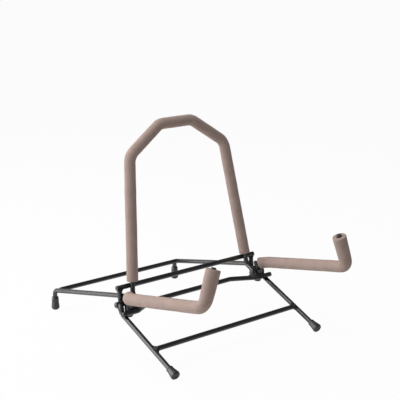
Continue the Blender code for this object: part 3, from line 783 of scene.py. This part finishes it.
def stage_material():
    """White satin floor that keeps a faint shadow, and mirrors the window at a low angle in gloss."""
    made = bpy.data.materials.new("pale_floor")
    made.use_nodes = True
    tree = made.node_tree
    tree.nodes.clear()
    output = tree.nodes.new("ShaderNodeOutputMaterial")
    matte = tree.nodes.new("ShaderNodeBsdfDiffuse")
    matte.inputs["Color"].default_value = (0.86, 0.86, 0.86, 1.0)
    glow = tree.nodes.new("ShaderNodeEmission")
    glow.inputs["Color"].default_value = (1.0, 1.0, 1.0, 1.0)
    share = tree.nodes.new("ShaderNodeMath")
    share.operation = "MULTIPLY"
    share.inputs[1].default_value = FLOOR_GLOW_SHARE
    tree.links.new(seen_rays(tree, FLOOR_GLOSS_SHARE), share.inputs[0])
    white = tree.nodes.new("ShaderNodeMixShader")
    tree.links.new(share.outputs[0], white.inputs["Fac"])
    tree.links.new(matte.outputs[0], white.inputs[1])
    tree.links.new(glow.outputs[0], white.inputs[2])
    satin = tree.nodes.new("ShaderNodeBsdfGlossy")
    satin.inputs["Roughness"].default_value = 0.12
    fresnel = tree.nodes.new("ShaderNodeFresnel")
    fresnel.inputs["IOR"].default_value = 1.5
    path = tree.nodes.new("ShaderNodeLightPath")
    low_angle = tree.nodes.new("ShaderNodeMath")
    low_angle.operation = "MULTIPLY"
    tree.links.new(fresnel.outputs[0], low_angle.inputs[0])
    tree.links.new(path.outputs["Is Glossy Ray"], low_angle.inputs[1])
    mix = tree.nodes.new("ShaderNodeMixShader")
    tree.links.new(low_angle.outputs[0], mix.inputs["Fac"])
    tree.links.new(white.outputs[0], mix.inputs[1])
    tree.links.new(satin.outputs[0], mix.inputs[2])
    tree.links.new(mix.outputs[0], output.inputs["Surface"])
    return made


def seen_rays(tree, gloss_share=1.0):
    """1 for camera and transmission rays, the given share for glossy rays, else 0."""
    path = tree.nodes.new("ShaderNodeLightPath")
    gloss = tree.nodes.new("ShaderNodeMath")
    gloss.operation = "MULTIPLY"
    tree.links.new(path.outputs["Is Glossy Ray"], gloss.inputs[0])
    gloss.inputs[1].default_value = gloss_share
    first = tree.nodes.new("ShaderNodeMath")
    first.operation = "MAXIMUM"
    tree.links.new(path.outputs["Is Camera Ray"], first.inputs[0])
    tree.links.new(gloss.outputs[0], first.inputs[1])
    second = tree.nodes.new("ShaderNodeMath")
    second.operation = "MAXIMUM"
    tree.links.new(first.outputs[0], second.inputs[0])
    tree.links.new(path.outputs["Is Transmission Ray"], second.inputs[1])
    return second.outputs[0]


def make_stage():
    half = 30.0
    mesh = bpy.data.meshes.new("floor")
    corners = [(-half, -half, 0), (half, -half, 0), (half, half, 0), (-half, half, 0)]
    mesh.from_pydata(corners, [], [(0, 1, 2, 3)])
    floor = bpy.data.objects.new("floor", mesh)
    bpy.context.scene.collection.objects.link(floor)
    floor.data.materials.append(stage_material())
    floor.location.z = -0.02 * MM


def make_world():
    """White where it is seen, a level room for diffuse light, and a window side and a dim side in gloss."""
    world = bpy.data.worlds.new("studio")
    bpy.context.scene.world = world
    world.use_nodes = True
    tree = world.node_tree
    tree.nodes.clear()
    output = tree.nodes.new("ShaderNodeOutputWorld")
    room = tree.nodes.new("ShaderNodeBackground")
    room.inputs["Color"].default_value = (1.0, 1.0, 1.0, 1.0)
    room.inputs["Strength"].default_value = ROOM_LEVEL
    backdrop = tree.nodes.new("ShaderNodeBackground")
    backdrop.inputs["Color"].default_value = (1.0, 1.0, 1.0, 1.0)
    backdrop.inputs["Strength"].default_value = 1.0
    direction = tree.nodes.new("ShaderNodeTexCoord").outputs["Generated"]
    facing = tree.nodes.new("ShaderNodeVectorMath")
    facing.operation = "DOT_PRODUCT"
    tree.links.new(direction, facing.inputs[0])
    facing.inputs[1].default_value = WINDOW_SIDE
    level = tree.nodes.new("ShaderNodeMapRange")
    level.inputs["From Min"].default_value = -0.1
    level.inputs["From Max"].default_value = 0.85
    level.inputs["To Min"].default_value = DIM_SIDE_LEVEL
    level.inputs["To Max"].default_value = 1.0
    tree.links.new(facing.outputs["Value"], level.inputs["Value"])
    gloss = tree.nodes.new("ShaderNodeBackground")
    gloss.inputs["Color"].default_value = (1.0, 1.0, 1.0, 1.0)
    tree.links.new(level.outputs["Result"], gloss.inputs["Strength"])
    path = tree.nodes.new("ShaderNodeLightPath")
    seen = tree.nodes.new("ShaderNodeMixShader")
    tree.links.new(path.outputs["Is Glossy Ray"], seen.inputs["Fac"])
    tree.links.new(backdrop.outputs[0], seen.inputs[1])
    tree.links.new(gloss.outputs[0], seen.inputs[2])
    mix = tree.nodes.new("ShaderNodeMixShader")
    tree.links.new(seen_rays(tree), mix.inputs["Fac"])
    tree.links.new(room.outputs[0], mix.inputs[1])
    tree.links.new(seen.outputs[0], mix.inputs[2])
    tree.links.new(mix.outputs[0], output.inputs["Surface"])


def softbox(name, place, aim, width, height, watts, mirrored=True):
    data = bpy.data.lights.new(name, "AREA")
    data.shape = "RECTANGLE"
    data.size = width
    data.size_y = height
    data.energy = watts
    lamp = bpy.data.objects.new(name, data)
    lamp.visible_camera = False
    lamp.visible_glossy = mirrored
    bpy.context.scene.collection.objects.link(lamp)
    lamp.location = place
    heading = Vector(aim) - Vector(place)
    lamp.rotation_euler = heading.to_track_quat("-Z", "Y").to_euler()


def make_light():
    middle = (0.0, 0.02, 0.13)
    softbox("key", (-1.34, 0.715, 0.84), middle, 1.5, 1.7, 22.5)
    softbox("top", (-0.3, 0.3, 1.9), middle, 1.4, 1.2, 17.0, mirrored=False)
    softbox("low", (-0.95, 1.22, 0.20), middle, 0.7, 0.4, 3.0)


def make_camera():
    data = bpy.data.cameras.new("camera")
    data.lens = 92.6
    data.sensor_width = 36.0
    camera = bpy.data.objects.new("camera", data)
    bpy.context.scene.collection.objects.link(camera)
    camera.location = (-1.0048, -1.2575, 0.6396)
    camera.rotation_euler = (math.radians(75.35), 0.0, math.radians(-39.17))
    bpy.context.scene.camera = camera


def dress_nodes(materials):
    slots = {row["node"]: row["material_slot"] for row in frame["record"]["subparts"]}
    for name, node in frame["nodes"].items():
        node.data.materials.clear()
        node.data.materials.append(materials[slots[name]])


def main():
    view = bpy.context.scene.view_settings
    view.view_transform = "Standard"
    make_camera()
    make_world()
    make_stage()
    make_light()
    materials = {
        "black_powder_coat": coat_material(),
        "taupe_foam": foam_material(),
        "dark_rubber": rubber_material(),
    }
    dress_nodes(materials)
    dress_foam(materials["taupe_foam"])
    dress_welds(materials["black_powder_coat"])
    dress_feet(materials["dark_rubber"])
    dress_pivots(materials["black_powder_coat"])


main()
